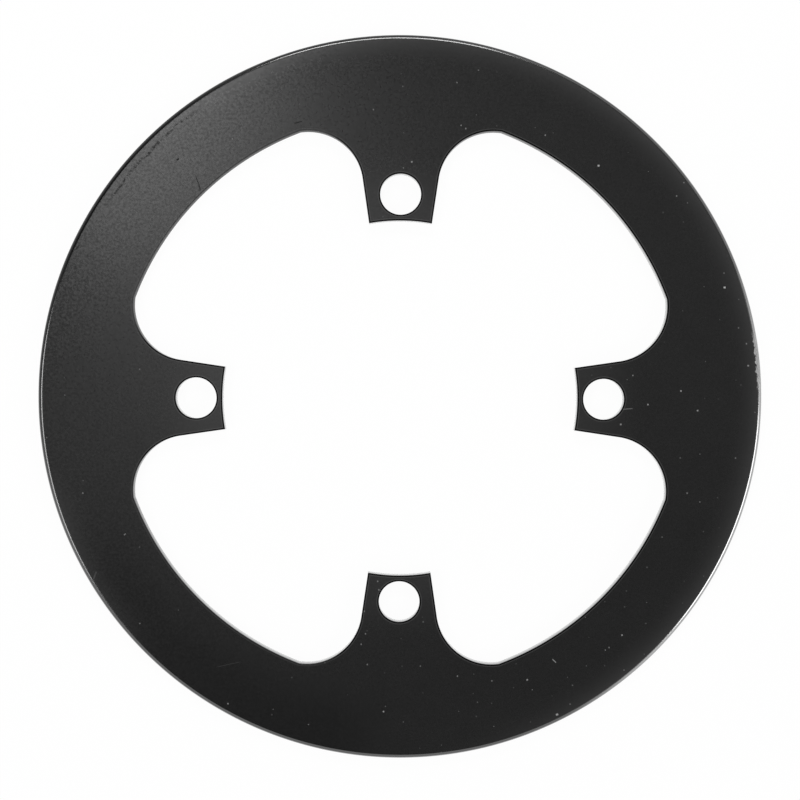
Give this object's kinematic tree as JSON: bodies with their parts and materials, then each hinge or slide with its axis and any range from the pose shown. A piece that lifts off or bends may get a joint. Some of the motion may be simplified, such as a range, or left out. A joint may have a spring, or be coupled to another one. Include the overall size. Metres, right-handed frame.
{
  "type": "bicycle chain guard",
  "caption": "Flat ring plate with a rounded rim, a lobed open centre and inward bolting tabs; bolts beside a crank's chainring to keep the chain on and clothing off it.",
  "frame": {"origin": "centre of the bolt circle, on the back face that seats on the crank's arms", "axes": "+Z out of the outer face, away from the bicycle; +X along one bolting tab"},
  "size_m": [0.185, 0.185, 0.003],
  "materials": {
    "black_anodised": "satin"
  },
  "bodies": {
    "root": {"guard_plate": "black_anodised"}
  },
  "joints": []
}
